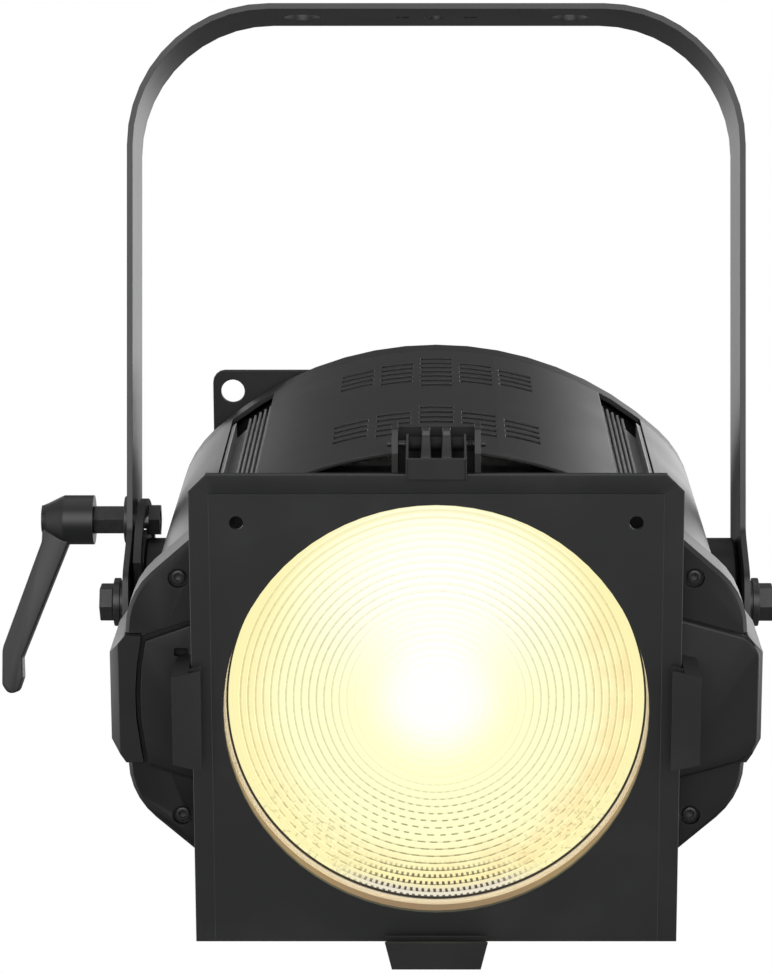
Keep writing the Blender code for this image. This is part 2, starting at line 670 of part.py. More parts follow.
def build_lens(head):
    """Stepped lens: flat at the back, rings of rising steps at the front."""
    steps = 5
    rim = [(0, LENS_FRONT)]
    for k in range(1, steps):
        radius = LENS_RADIUS * k / steps
        rim += [(radius, LENS_FRONT + 1.6), (radius + 0.4, LENS_FRONT + 0.3)]
    rim += [(LENS_RADIUS, LENS_FRONT + 1.8), (LENS_RADIUS, LENS_FRONT + 7), (0, LENS_FRONT + 7)]
    turned("lens", rim, "Y", (0, 0), LENS_GLASS, head, 40)
    turned("lens_gasket", ring(LENS_FRONT + 7.3, LENS_FRONT + 9.3, 101, LENS_RADIUS), "Y", (0, 0), RUBBER, head, 40)
    turned("lens_retainer", [(105.5, LENS_FRONT - 2.6), (108.2, LENS_FRONT - 2.6), (108.2, LENS_FRONT - 0.3),
                             (105.5, LENS_FRONT - 0.3)], "Y", (0, 0), ZINC, head, 48)


def build_chassis(head):
    chassis = prism("chassis_plate", rectangle(-112, -96, 112, 82, 24), "Y", 45, 47.5, BARE_ALLOY, head)
    cuts = bmesh.new()
    turned_mesh(rod(40, 50, 42), "Y", (0, FAN_Z), 32, cuts)
    for x, z, radius in ((-100, 0, 5.3), (100, 0, 5.3), (0, -84, 6)):
        turned_mesh(rod(40, 50, radius), "Y", (x, z), 16, cuts)
    boolean(chassis, finish("chassis_cuts", cuts, None, head))
    for name, x in (("left", -100), ("right", 100)):
        turned("guide_rod_" + name, rod(-146, 52, 5.0), "Y", (x, 0), ZINC, head, 16)


def build_carriage(head):
    carriage = prism("engine_carriage", rectangle(-112, -40, 112, 40, 10), "Y", -20, -14, BARE_ALLOY, head)
    lug = rounded([(-14, -38), (14, -38), (14, -98), (-14, -98)], [0, 0, 6, 6], 4)
    boolean(carriage, prism("nut_lug", lug, "Y", -20, -14, None, head), "UNION")
    cuts = bmesh.new()
    for x, z, radius in ((-100, 0, 5.3), (100, 0, 5.3), (0, -84, 4.4)):
        turned_mesh(rod(-30, 0, radius), "Y", (x, z), 16, cuts)
    boolean(carriage, finish("carriage_cuts", cuts, None, head))
    turned("led_board", rod(-22.4, -20.3, 34), "Y", (0, 0), EMITTER, head, 32)
    turned("reflector", [(21, -22.7), (23, -22.7), (46, -62), (44, -62)], "Y", (0, 0), BARE_ALLOY, head, 32)
    fins = [(-70, -13.7), (70, -13.7), (70, 22)]
    count = 12
    pitch = 140.0 / count
    for k in range(count):
        x = 70 - k * pitch
        fins += [(x - 3, 22), (x - 3, -8)] if k < count - 1 else []
        fins += [(x - pitch, -8), (x - pitch, 22)] if k < count - 1 else []
    fins += [(-70, 22)]
    prism("heat_sink", fins, "Z", -36, 36, BARE_ALLOY, head)


def build_drive(head):
    box("zoom_motor", (-21, 47.8, -105), (21, 74, -63), CAST_BLACK, head)
    screw = empty("leadscrew_axis", (0, 0, -84), head)
    turned("leadscrew", rod(-140, 47.5, 4.0), "Y", (0, 0), ZINC, screw, 16)


def build_fan(head):
    housing = box("fan_housing", (-46, 48, FAN_Z - 46), (46, 68, FAN_Z + 46), PLASTIC_BLACK, head)
    hollow = turned("fan_hollow", [(0, 40), (43, 40), (43, 64.5), (0, 64.5)], "Y", (0, FAN_Z), None, head, 32)
    boolean(housing, hollow)
    slots = bmesh.new()
    for k in range(3):
        turned_mesh(ring(60, 75, 19 + 8.5 * k, 24.5 + 8.5 * k), "Y", (0, FAN_Z), 24, slots)
    ports = finish("fan_ports", slots, None, head)
    spokes = bmesh.new()
    box_mesh((-2.5, 55, FAN_Z - 50), (2.5, 80, FAN_Z + 50), spokes)
    boolean(ports, finish("fan_spoke_up", spokes, None, head))
    across = box("fan_spoke_across", (-50, 55, FAN_Z - 2.5), (50, 80, FAN_Z + 2.5), None, head)
    boolean(ports, across)
    boolean(housing, ports)
    turn = empty("fan_axis", (0, 0, FAN_Z), head)
    rotor = turned("fan_rotor", rod(50, 63.5, 16), "Y", (0, 0), PLASTIC_BLACK, turn, 21)
    blades = 7
    for k in range(blades):
        blade = [(-1.6, 51), (0.4, 51), (7.5, 62), (5.5, 62)]
        vane = finish("vane_%d" % k, prism_mesh(blade, "Z", 13, 40.5), None, turn)
        vane.rotation_euler.y = 2 * math.pi * k / blades
        boolean(rotor, vane, "UNION")


def build_electrics(head):
    box("driver_board", (-55, -120, -109), (55, 30, -105.5), BOARD_GREEN, head)
    panel = prism("control_panel", rectangle(-58, 41, 58, 93, 5), "Y", REAR_FACE + GAP, REAR_FACE + 3.3,
                  PLASTIC_BLACK, head)
    cuts = bmesh.new()
    box_mesh((-50.3, 100, 48.7), (10.3, 112, 85.3), cuts)
    for x, z in BUTTON_PLACES.values():
        turned_mesh(rod(100, 112, 5.3), "Y", (x, z), 20, cuts)
    boolean(panel, finish("panel_cuts", cuts, None, head))
    box("display_window", (-50, 103.0, 49), (10, 106.6, 85), DISPLAY_DARK, head)
    for name, (x, z) in BUTTON_PLACES.items():
        turned("button_" + name, [(0, 99), (6.2, 99), (6.2, 103.2), (5.0, 103.2), (5.0, 109.3), (4.3, 110), (0, 110)],
               "Y", (x, z), RUBBER, head, 12, (x, 104.0, z))
    for name in ("power_in", "power_out"):
        build_socket(head, name, rectangle, 9.2)
    for name in ("data_in", "data_out"):
        build_socket(head, name, None, 9.6)
    turned("fuse_holder", [(0, REAR_FACE + GAP), (7, REAR_FACE + GAP), (7, 107), (5.5, 110.5), (0, 110.5)], "Y",
           (84, CONNECTOR_Z), PLASTIC_BLACK, head, 20)


def build_socket(head, name, square, reach):
    """Panel socket: a flange outside the cover, a shell inside it, and an open recess."""
    x, half_wide, half_high = CONNECTORS[name]
    flange = rectangle(x - 15, CONNECTOR_Z - 17, x + 15, CONNECTOR_Z + 17, 3)
    socket = prism(name, flange, "Y", REAR_FACE + GAP, REAR_FACE + 2.8, PLASTIC_BLACK, head)
    shell = rectangle(x - half_wide + 0.6, CONNECTOR_Z - half_high + 0.6,
                      x + half_wide - 0.6, CONNECTOR_Z + half_high - 0.6, 2)
    boolean(socket, prism(name + "_shell", shell, "Y", 84, REAR_FACE + 1, None, head), "UNION")
    if square:
        recess = rectangle(x - reach, CONNECTOR_Z - reach - 1.4, x + reach, CONNECTOR_Z + reach + 1.4, 2)
        boolean(socket, prism(name + "_recess", recess, "Y", 88, 112, None, head))
    else:
        boolean(socket, turned(name + "_recess", rod(88, 112, reach), "Y", (x, CONNECTOR_Z), None, head, 24))


BUTTON_PLACES = {
    "menu": (24.0, 78.0),
    "up": (42.0, 78.0),
    "enter": (24.0, 58.0),
    "down": (42.0, 58.0),
}


# ---------------------------------------------------------------- assembly

def build_head():
    head = empty("head_tilt", (0, 0, -PIVOT_DROP))
    head.rotation_euler.x = math.radians(TILT_DEG)
    build_casting(head)
    build_top_cover(head)
    build_bottom_cover(head)
    build_rear_cover(head)
    build_safety_eye(head)
    for name, side in (("left", -1), ("right", 1)):
        build_pivot_parts(head, name, side)
        build_pod(head, name, side)
        build_rail(head, name, side)
        build_side_cover(head, name, side)
    build_quadrant(head)
    build_colour_frame(head)
    for name, turn in (("bottom", 0), ("left", 90), ("right", -90)):
        build_clip(head, name, turn)
    build_latch(head)
    build_lens(head)
    build_chassis(head)
    build_carriage(head)
    build_drive(head)
    build_fan(head)
    build_electrics(head)


def main():
    clear_scene()
    build_yoke()
    build_pivot("left", -1)
    build_pivot("right", 1)
    build_clamp()
    build_head()


main()
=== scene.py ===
import json
import math

import bmesh
import bpy
import numpy as np
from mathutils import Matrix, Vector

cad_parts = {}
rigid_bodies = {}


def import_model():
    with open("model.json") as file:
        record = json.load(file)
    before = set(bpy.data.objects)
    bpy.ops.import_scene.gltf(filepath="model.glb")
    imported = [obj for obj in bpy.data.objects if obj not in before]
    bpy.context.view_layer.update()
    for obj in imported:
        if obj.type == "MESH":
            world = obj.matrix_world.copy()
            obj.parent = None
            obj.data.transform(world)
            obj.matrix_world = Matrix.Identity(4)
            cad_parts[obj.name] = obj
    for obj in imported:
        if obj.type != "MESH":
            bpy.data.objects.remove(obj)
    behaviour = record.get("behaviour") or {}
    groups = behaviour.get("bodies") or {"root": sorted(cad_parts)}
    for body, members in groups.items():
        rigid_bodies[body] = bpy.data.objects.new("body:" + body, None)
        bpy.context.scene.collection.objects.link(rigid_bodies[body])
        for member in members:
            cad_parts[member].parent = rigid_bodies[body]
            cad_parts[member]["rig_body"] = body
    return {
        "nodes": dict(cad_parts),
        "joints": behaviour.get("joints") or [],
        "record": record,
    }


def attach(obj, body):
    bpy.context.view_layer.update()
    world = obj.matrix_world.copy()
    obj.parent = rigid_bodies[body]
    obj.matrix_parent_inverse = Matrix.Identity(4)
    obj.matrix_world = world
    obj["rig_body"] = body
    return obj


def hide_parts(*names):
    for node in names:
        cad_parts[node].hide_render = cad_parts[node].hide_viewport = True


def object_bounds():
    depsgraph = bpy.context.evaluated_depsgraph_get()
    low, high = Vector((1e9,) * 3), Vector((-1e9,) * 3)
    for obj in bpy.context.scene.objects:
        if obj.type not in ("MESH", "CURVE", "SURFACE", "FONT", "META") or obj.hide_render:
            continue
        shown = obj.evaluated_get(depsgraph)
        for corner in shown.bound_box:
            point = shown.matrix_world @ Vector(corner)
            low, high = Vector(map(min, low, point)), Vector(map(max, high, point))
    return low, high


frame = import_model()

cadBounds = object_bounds()
print("frame loaded:", len(frame["nodes"]), "nodes")

# places are in millimetres: the head's own about its pivot, or the world's
joints = {joint["name"]: joint for joint in frame["joints"]}
pivotPoint = np.array(joints["tilt"]["pos_m"])            # world, metres
backWay = np.array(joints["zoom_slide"]["axis"])          # the head's own +y
upWay = np.cross([1.0, 0.0, 0.0], backWay)
headTurn = np.array([[1.0, 0.0, 0.0], backWay, upWay])
tiltAngle = math.atan2(backWay[2], backWay[1])


def inHead(points):
    # the head's own millimetres about the pivot, turned by the tilt and moved to the world in metres
    return pivotPoint + np.asarray(points, float) / 1000 @ headTurn


class Socket:
    # one output of a material's nodes; sums and products on it add Math nodes
    def __init__(self, graph, link):
        self.graph, self.link = graph, link

    def maths(self, operation, other=None, swapped=False):
        sides = [self] if other is None else [other, self] if swapped else [self, other]
        return self.graph.node("ShaderNodeMath", {"operation": operation}, dict(enumerate(sides)))

    def __add__(self, other): return self.maths("ADD", other)
    def __radd__(self, other): return self.maths("ADD", other, True)
    def __sub__(self, other): return self.maths("SUBTRACT", other)
    def __rsub__(self, other): return self.maths("SUBTRACT", other, True)
    def __mul__(self, other): return self.maths("MULTIPLY", other)
    def __rmul__(self, other): return self.maths("MULTIPLY", other, True)
    def __truediv__(self, other): return self.maths("DIVIDE", other)
    def __pow__(self, other): return self.maths("POWER", other)
    def sine(self): return self.maths("SINE")
    def part(self): return self.maths("FRACT")

    def ramp(self, low, high):
        # 0 at low, 1 at high, smooth between
        return self.graph.node("ShaderNodeMapRange", {"interpolation_type": "SMOOTHSTEP"},
                               {"Value": self, "From Min": low, "From Max": high})

    def out(self, name):
        return Socket(self.graph, self.link.node.outputs[name])


class Finish:
    # a material, and one method that adds any node
    def __init__(self, name):
        self.material = bpy.data.materials.new(name)
        self.material.use_nodes = True
        self.tree = self.material.node_tree
        self.shader = self.tree.nodes["Principled BSDF"]

    def node(self, kind, settings=None, inputs=None):
        made = self.tree.nodes.new(kind)
        for setting, value in (settings or {}).items():
            if setting == "stops":
                ramp = made.color_ramp
                while len(ramp.elements) < len(value):
                    ramp.elements.new(0.5)
                for element, (place, colour) in zip(ramp.elements, value):
                    element.position, element.color = place, (*colour, 1)
            else:
                setattr(made, setting, value)
        for socket, value in (inputs or {}).items():
            self.join(made.inputs[socket], value)
        return Socket(self, next(o for o in made.outputs if o.enabled))

    def join(self, socket, value):
        if isinstance(value, Socket):
            self.tree.links.new(value.link, socket)
        else:
            socket.default_value = (*value, 1) if isinstance(value, tuple) and len(value) == 3 \
                and socket.type == "RGBA" else value

    def set(self, **values):
        for name, value in values.items():
            self.join(self.shader.inputs[name.replace("_", " ")], value)

    def place(self):
        return self.node("ShaderNodeTexCoord").out("Object")

    def headPlace(self):
        # the head's own millimetres about the pivot
        shift = -(headTurn @ pivotPoint) * 1000
        turned = self.node("ShaderNodeMapping", None, {
            "Vector": self.place(), "Scale": (1000, 1000, 1000),
            "Rotation": (-tiltAngle, 0, 0), "Location": tuple(shift)})
        return self.node("ShaderNodeSeparateXYZ", None, {0: turned})

    def noise(self, size, detail=2.0, roughness=0.5):
        # size in millimetres
        return self.node("ShaderNodeTexNoise", None, {
            "Vector": self.place(), "Scale": 1000 / size, "Detail": detail, "Roughness": roughness})

    def mix(self, factor, first, second):
        made = self.tree.nodes.new("ShaderNodeMix")
        made.data_type = "RGBA"
        for index, value in ((0, factor), (6, first), (7, second)):
            self.join(made.inputs[index], value)
        return Socket(self, made.outputs[2])

    def bump(self, height, strength, distance):
        # distance in millimetres
        return self.node("ShaderNodeBump", None, {
            "Height": height, "Strength": strength, "Distance": distance / 1000})


coatLook = {"colour": (0.0152, 0.0154, 0.0158), "dust": (0.024, 0.024, 0.0247)}
castLook = {"colour": (0.0052, 0.0053, 0.0055), "dust": (0.0085, 0.0085, 0.0088)}
# painted light for the rails: the top colour is a painted highlight on the ribs, the wall colour is painted
# shade on the channel's outer wall, which begins between from and to
ribPaintedLight = {"top": (0.27, 0.27, 0.274), "wall": (0.016, 0.016, 0.0165), "from": 114.4, "to": 115.0}


def powderCoat(name, grain, roughness, relief, colour=coatLook["colour"], dust=coatLook["dust"]):
    # baked powder: fine orange-peel bumps, a slow drift in gloss and a trace of dust
    finish = Finish(name)
    drift = finish.noise(38, 3)
    peel = finish.noise(grain, 2, 0.6)
    speck = finish.noise(grain * 0.45, 1)
    finish.set(Base_Color=finish.mix(drift.ramp(0.45, 0.75) * 0.5, colour, dust),
               Roughness=roughness + (drift - 0.5) * 0.12 + (speck - 0.5) * 0.08,
               Normal=finish.bump(peel + speck * 0.5, relief, 0.05))
    return finish.material


def ribbedCoat():
    # ribs beside the cover coloured pale as a painted highlight for the light on their tops, mottled a
    # little; the channel wall outside them coloured dark as painted shade
    finish = Finish("ribbedCoat")
    outward = finish.headPlace().out("X").maths("ABSOLUTE")
    ribMottle = finish.noise(7, 3)
    # painted shade mask: outward of the ribs the colour turns to the dark wall
    wall = outward.ramp(ribPaintedLight["from"], ribPaintedLight["to"])
    # painted highlight on the ribs, mottled a little towards the dark
    ribs = finish.mix(ribMottle.ramp(0.35, 0.85) * 0.3, ribPaintedLight["top"], ribPaintedLight["wall"])
    finish.set(Base_Color=finish.mix(wall, ribs, ribPaintedLight["wall"]),
               Roughness=0.36 + ribMottle * 0.1, Normal=finish.bump(finish.noise(0.55, 2, 0.6), 0.3, 0.05))
    return finish.material


def zincPlate():
    # bright zinc: cool grey with cloudy gloss and hair-fine turning marks
    finish = Finish("zincPlate")
    cloud = finish.noise(6, 3)
    hair = finish.noise(0.5, 2)
    finish.set(Base_Color=finish.mix(cloud, (0.46, 0.46, 0.47), (0.62, 0.61, 0.6)), Metallic=1.0,
               Roughness=0.22 + cloud * 0.16, Normal=finish.bump(hair, 0.25, 0.02))
    return finish.material


def blackZinc():
    # blackened screws and bolts, worn a little on the high spots
    finish = Finish("blackZinc")
    cloud = finish.noise(3, 3)
    finish.set(Base_Color=finish.mix(cloud, (0.026, 0.026, 0.027), (0.065, 0.065, 0.067)),
               Metallic=0.35,
               Roughness=0.3 + cloud * 0.15, Normal=finish.bump(finish.noise(0.4), 0.2, 0.03))
    return finish.material


def mouldedPlastic():
    # fine spark-eroded grain
    finish = Finish("mouldedPlastic")
    grain = finish.noise(0.35, 2, 0.7)
    drift = finish.noise(20, 2)
    finish.set(Base_Color=finish.mix(drift, (0.014, 0.014, 0.015), (0.022, 0.022, 0.023)),
               Roughness=0.5 + (drift - 0.5) * 0.16, Normal=finish.bump(grain, 0.35, 0.05))
    return finish.material


def softRubber(name, low, high):
    # matt and slightly mottled
    finish = Finish(name)
    cloud = finish.noise(4, 3)
    finish.set(Base_Color=finish.mix(cloud, (low, low, low), (high, high, high)),
               Roughness=0.7 + cloud * 0.15, Normal=finish.bump(finish.noise(0.6, 3), 0.3, 0.05))
    return finish.material


def millAlloy():
    # mill-finish sheet with long rolling marks
    finish = Finish("millAlloy")
    lines = finish.node("ShaderNodeMapping", None, {"Vector": finish.place(), "Scale": (2500, 60, 2500)})
    streak = finish.node("ShaderNodeTexNoise", None, {"Vector": lines, "Scale": 1.0, "Detail": 2.0})
    cloud = finish.noise(25, 2)
    finish.set(Base_Color=finish.mix(cloud, (0.58, 0.58, 0.59), (0.72, 0.72, 0.73)), Metallic=1.0,
               Roughness=0.3 + streak * 0.16, Normal=finish.bump(streak, 0.2, 0.02))
    return finish.material


def circuitBoard():
    # green lacquer over tracks
    finish = Finish("circuitBoard")
    tracks = finish.node("ShaderNodeTexBrick", {"offset": 0.35}, {
        "Vector": finish.place(), "Scale": 120.0, "Mortar Size": 0.03, "Color1": (0.01, 0.09, 0.035),
        "Color2": (0.012, 0.12, 0.045), "Mortar": (0.03, 0.2, 0.08)})
    finish.set(Base_Color=tracks, Roughness=0.32 + finish.noise(3) * 0.15,
               Normal=finish.bump(tracks.out("Fac"), 0.4, 0.05))
    return finish.material


def emitterBoard():
    # close-packed chips under a yellow phosphor
    finish = Finish("emitterBoard")
    chips = finish.node("ShaderNodeTexVoronoi", {"distance": "CHEBYCHEV"}, {
        "Vector": finish.place(), "Scale": 320.0, "Randomness": 0.0})
    mask = chips.ramp(0.42, 0.36)
    colour = finish.mix(mask, (0.5, 0.42, 0.22), (1.0, 0.86, 0.42))
    finish.set(Base_Color=colour, Emission_Color=colour, Roughness=0.4 + mask * 0.2)
    finish.set(Emission_Strength=0.3)
    return finish.material


def displayGlass():
    # dark window over a blue-black panel with a faint dot grid
    finish = Finish("displayGlass")
    dots = finish.node("ShaderNodeTexVoronoi", None, {
        "Vector": finish.place(), "Scale": 1800.0, "Randomness": 0.0})
    lit = dots.ramp(0.5, 0.2)
    finish.set(Base_Color=finish.mix(lit, (0.004, 0.006, 0.01), (0.01, 0.016, 0.03)),
               Roughness=0.06 + lit * 0.05)
    finish.set(Coat_Weight=1.0, Coat_Roughness=0.03)
    return finish.material


# painted light round the lens: near is a painted highlight from the lens, far is bronze with painted glow,
# gap is painted shade
sleevePaintedLight = {"near": (1.0, 0.88, 0.66), "far": (0.4, 0.27, 0.175), "gap": (0.02, 0.015, 0.01),
            "lip": -191.8}                             # where the painted highlight beside the glass ends, head's y


def glowPaintedWall():
    # the sleeve round the lens: bronze with the lens's glow painted on, a painted highlight beside the glass
    # that darkens further back, and painted shade at the gap by the glass
    finish = Finish("glowPaintedWall")
    spot = finish.headPlace()
    x, depth, z = spot.out("X"), spot.out("Y"), spot.out("Z")
    radius = (x * x + z * z) ** 0.5
    # painted highlight: pale beside the glass, darker further back
    colour = finish.mix(depth.ramp(sleevePaintedLight["lip"] - 0.9, sleevePaintedLight["lip"]), sleevePaintedLight["far"], sleevePaintedLight["near"])
    # painted shade: dark at the gap next to the glass
    colour = finish.mix(radius.ramp(106.1, 106.6), sleevePaintedLight["gap"], colour)
    finish.set(Base_Color=colour, Roughness=0.42 + finish.noise(2) * 0.12,
               Normal=finish.bump(finish.noise(0.8), 0.2, 0.03))
    finish.set(Metallic=0.2)
    return finish.material


lensLook = {
    "pitch": 3.85,                                     # steps, millimetres
    "white": (1.02, 1.02, 0.98), "cream": (1.0, 1.0, 0.86), "warm": (1.0, 1.0, 0.6),
    "rim": (0.97, 0.9, 0.46), "amber": (1.0, 0.7, 0.33), "line": (0.3, 0.26, 0.12),
    "pit": (0.03, 0.022, 0.015), "pale": (0.72, 0.66, 0.6),
    "dashes": 76, "dots": 212,                         # in one turn
}


def lensGlow():
    # light through the steps: white where the source shines straight, warm round it, hair lines at
    # the risers that break into dashes low down, and rows of dark dots at the very bottom
    finish = Finish("lensGlow")
    spot = finish.headPlace()
    x, z = spot.out("X"), spot.out("Z")
    across = x.maths("ABSOLUTE")
    radius = (x * x + z * z) ** 0.5
    turn = x.maths("ARCTAN2", z)
    ringNumber = (radius / lensLook["pitch"]).maths("FLOOR")
    step = (radius / lensLook["pitch"]).part()
    blotch, fine = finish.noise(14, 2), finish.noise(2.2, 2)
    core = 1 - radius.ramp(8, 40)
    above = ((x * x) * 0.7 + (z - 54) * (z - 54)) ** 0.5
    bridge = (1 - across.ramp(6, 44)) * z.ramp(-22, 12) * (1 - z.ramp(66, 98))
    colour = finish.mix(radius.ramp(72, 104), lensLook["warm"], lensLook["rim"])
    glowing = radius.ramp(66, 90) * (1 - radius.ramp(97, 103)) * (1 - z.ramp(10, 90)) \
        * (0.3 + x.ramp(-40, 80) * 0.7)
    colour = finish.mix(glowing * blotch.ramp(0.2, 0.7) * 0.5, colour, lensLook["amber"])
    colour = finish.mix((1 - above.ramp(10, 74)).maths("MAXIMUM", bridge) * 0.85, colour, lensLook["cream"])
    colour = finish.mix(core, colour, lensLook["white"])
    low = 1 - z.ramp(-78, -22)
    middle = 1 - across.ramp(14, 66)
    rows = radius.ramp(34, 62) * (1 - z.ramp(30, 96) * 0.75) * (1 - radius.ramp(100.5, 102.5) * (1 - middle))
    edge = step.ramp(0.62, 0.78) * (1 - step.ramp(0.9, 0.99))
    wander = blotch * 6 + ringNumber * 2.2
    dash = (turn * lensLook["dashes"] + wander).sine().ramp(-0.6, 0.3)
    broken = 1 - low * (1 - dash) * (1 - middle * radius.ramp(70, 84) * 0.7)
    depth = 0.42 + (fine - 0.5) * 0.5 + low * (0.12 + middle * 0.45)
    colour = finish.mix(edge * rows * broken * depth, colour, lensLook["line"])
    speckle = low * (1 - middle) * radius.ramp(60, 90) * fine.ramp(0.56, 0.66) * 0.4
    colour = finish.mix(speckle, colour, lensLook["line"])
    foot = (1 - across.ramp(24, 62)) * (1 - z.ramp(-98, -80))
    colour = finish.mix(foot * radius.ramp(98, 103) * 0.75, colour, lensLook["pale"])
    dots = (turn * lensLook["dots"] + ringNumber * 3.1 + fine * 2).sine().ramp(-0.15, 0.4) \
        * step.ramp(0.2, 0.4) * (1 - step.ramp(0.84, 0.97))
    colour = finish.mix(foot * dots * radius.ramp(84, 91) * 0.95, colour, lensLook["pit"])
    pebble = finish.node("ShaderNodeTexVoronoi", None, {"Vector": finish.place(), "Scale": 380.0})
    finish.set(Emission_Color=colour, Base_Color=(0.04, 0.038, 0.03), Roughness=0.16 + low * 0.1,
               Normal=finish.bump(pebble, 0.25, 0.25))
    finish.set(Emission_Strength=1.0, Coat_Weight=0.3, Coat_Roughness=0.05)
    return finish.material


def lensBack():
    # pebbled back and ground rim of the glass
    finish = Finish("lensBack")
    pebble = finish.node("ShaderNodeTexVoronoi", None, {"Vector": finish.place(), "Scale": 380.0})
    finish.set(Base_Color=finish.mix(pebble, (0.32, 0.3, 0.22), (0.2, 0.19, 0.14)),
               Roughness=0.3 + pebble * 0.2, Normal=finish.bump(pebble, 0.4, 0.3))
    return finish.material


steelCoat = powderCoat("steelCoat", 0.55, 0.4, 0.35)
castCoat = powderCoat("castCoat", 0.9, 0.47, 0.6, castLook["colour"], castLook["dust"])
ribCoat = ribbedCoat()
zinc, darkZinc, plastic = zincPlate(), blackZinc(), mouldedPlastic()
# the near-black seal rubber is painted shade: it darkens the door groove, the door pocket and the latch hub
rubber, paintedShadeRubber = softRubber("softRubber", 0.02, 0.05), softRubber("paintedShadeRubber", 0.001, 0.003)
alloy, board, emitter, display = millAlloy(), circuitBoard(), emitterBoard(), displayGlass()
print("finishes made")


def gridFaces(rows, columns, closeRows, closeColumns, flip=False):
    # quads between neighbours of a grid numbered row by row
    i = np.arange(rows if closeRows else rows - 1)[:, None]
    j = np.arange(columns if closeColumns else columns - 1)[None, :]
    down, across = (i + 1) % rows, (j + 1) % columns
    corners = [i * columns + j, i * columns + across, down * columns + across, down * columns + j]
    faces = np.stack([np.broadcast_to(c, (i.size, j.size)) for c in corners], -1).reshape(-1, 4)
    return faces[:, ::-1] if flip else faces


def newPiece(name, points, faces, finish, body, slot, stands=(), sharp=32):
    # points in the head's millimetres become a mesh with outward faces
    mesh = bpy.data.meshes.new(name)
    mesh.from_pydata(inHead(points).tolist(), [], [list(face) for face in faces])
    tidyMesh(mesh, sharp)
    return fileAway(name, mesh, finish, body, stands)


def tidyMesh(mesh, sharp, recalculate=True, flatAngle=None):
    # joins doubled points, flattens near-level faces if asked, and marks sharp edges
    bm = bmesh.new()
    bm.from_mesh(mesh)
    bmesh.ops.remove_doubles(bm, verts=bm.verts, dist=2e-6)
    if flatAngle:
        bmesh.ops.dissolve_limit(bm, angle_limit=math.radians(flatAngle), verts=bm.verts, edges=bm.edges)
    if recalculate:
        bmesh.ops.recalc_face_normals(bm, faces=bm.faces)
    bm.to_mesh(mesh)
    bm.free()
    mesh.shade_smooth()
    mesh.set_sharp_from_angle(angle=math.radians(sharp))


slotOf = {row["node"]: row["material_slot"] for row in frame["record"]["subparts"]}


def fileAway(name, mesh, finish, body, stands=()):
    # a mesh becomes a piece with its finish, its body and the nodes it stands for
    piece = bpy.data.objects.new(name, mesh)
    bpy.context.scene.collection.objects.link(piece)
    mesh.materials.clear()
    mesh.materials.append(finish)
    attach(piece, body)
    if stands:
        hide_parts(*stands)
    return piece


def softenEdges(piece, width, steps=2):
    # rounds the sharp edges; width in millimetres
    modifier = piece.modifiers.new("edges", "BEVEL")
    modifier.width = width / 1000
    modifier.segments = steps
    modifier.limit_method = "ANGLE"
    modifier.angle_limit = math.radians(32)
    modifier.harden_normals = True
    return piece


def roundedCopy(node, finish, width):
    # a frame node's own shape with its edges rounded
    source = frame["nodes"][node]
    mesh = source.data.copy()
    tidyMesh(mesh, 32, recalculate=False, flatAngle=0.3)
    mesh.name = node + "_shape"
    piece = fileAway(mesh.name, mesh, finish, source["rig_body"], (node,))
    return softenEdges(piece, width)


roundedNodes = [                                       # finish, edge radius in millimetres, nodes
    (steelCoat, 0.45, ["yoke", "quadrant_plate", "top_cover", "side_cover_left", "side_cover_right",
                       "bottom_cover", "colour_frame", "clip_bottom", "clip_left", "clip_right"]),
    (steelCoat, 0.8, ["clamp_handle"]),
    (castCoat, 0.8, ["front_casting", "pivot_boss_left", "pivot_boss_right", "rear_cover"]),
    (castCoat, 0.45, ["safety_eye"]),
    (plastic, 0.4, ["control_panel", "power_in", "power_out", "data_in", "data_out", "fuse_holder",
                    "fan_housing"]),
    (darkZinc, 1.1, ["pivot_bolt_left", "pivot_bolt_right"]),
    (darkZinc, 0.5, ["pivot_washer_left", "pivot_washer_right", "clamp_insert", "clamp_washer"]),
    (ribCoat, 0.25, ["rail_left", "rail_right"]),
]
for finish, width, names in roundedNodes:
    for node in names:
        roundedCopy(node, finish, width)

keptNodes = [
    (zinc, ["clamp_stud", "handle_screw", "handle_spring", "guide_rod_left", "guide_rod_right",
            "leadscrew"]),
    (darkZinc, ["latch_pin", "latch_spring", "clamp_nut"]),
    (alloy, ["chassis_plate", "engine_carriage", "reflector", "heat_sink"]),
    (plastic, ["fan_rotor", "zoom_motor"]),
    (rubber, ["lens_gasket", "button_menu", "button_up", "button_enter", "button_down"]),
    (board, ["driver_board"]), (emitter, ["led_board"]), (display, ["display_window"]),
]
for finish, names in keptNodes:
    for node in names:
        mesh = frame["nodes"][node].data
        mesh.materials.clear()
        mesh.materials.append(finish)
print("frame nodes finished")


def cutFlat(loops, low, high, edge, steps=2):
    # a filled outline with holes, given thickness and rounded edges; (u, v, depth) points and faces
    curve = bpy.data.curves.new("outline", "CURVE")
    curve.dimensions, curve.fill_mode = "2D", "BOTH"
    curve.extrude, curve.bevel_depth, curve.offset = (high - low) / 2 - edge, edge, -edge
    curve.bevel_resolution = steps
    for loop in loops:
        spline = curve.splines.new("POLY")
        spline.points.add(len(loop) - 1)
        flat = np.column_stack([np.asarray(loop, float), np.zeros(len(loop)), np.ones(len(loop))])
        spline.points.foreach_set("co", flat.ravel())
        spline.use_cyclic_u = True
    holder = bpy.data.objects.new("outline", curve)
    mesh = bpy.data.meshes.new_from_object(holder)
    points = np.empty(len(mesh.vertices) * 3)
    mesh.vertices.foreach_get("co", points)
    points = points.reshape(-1, 3)
    points[:, 2] += (low + high) / 2
    faces = [list(face.vertices) for face in mesh.polygons]
    bpy.data.objects.remove(holder)
    bpy.data.curves.remove(curve)
    bpy.data.meshes.remove(mesh)
    return points, faces


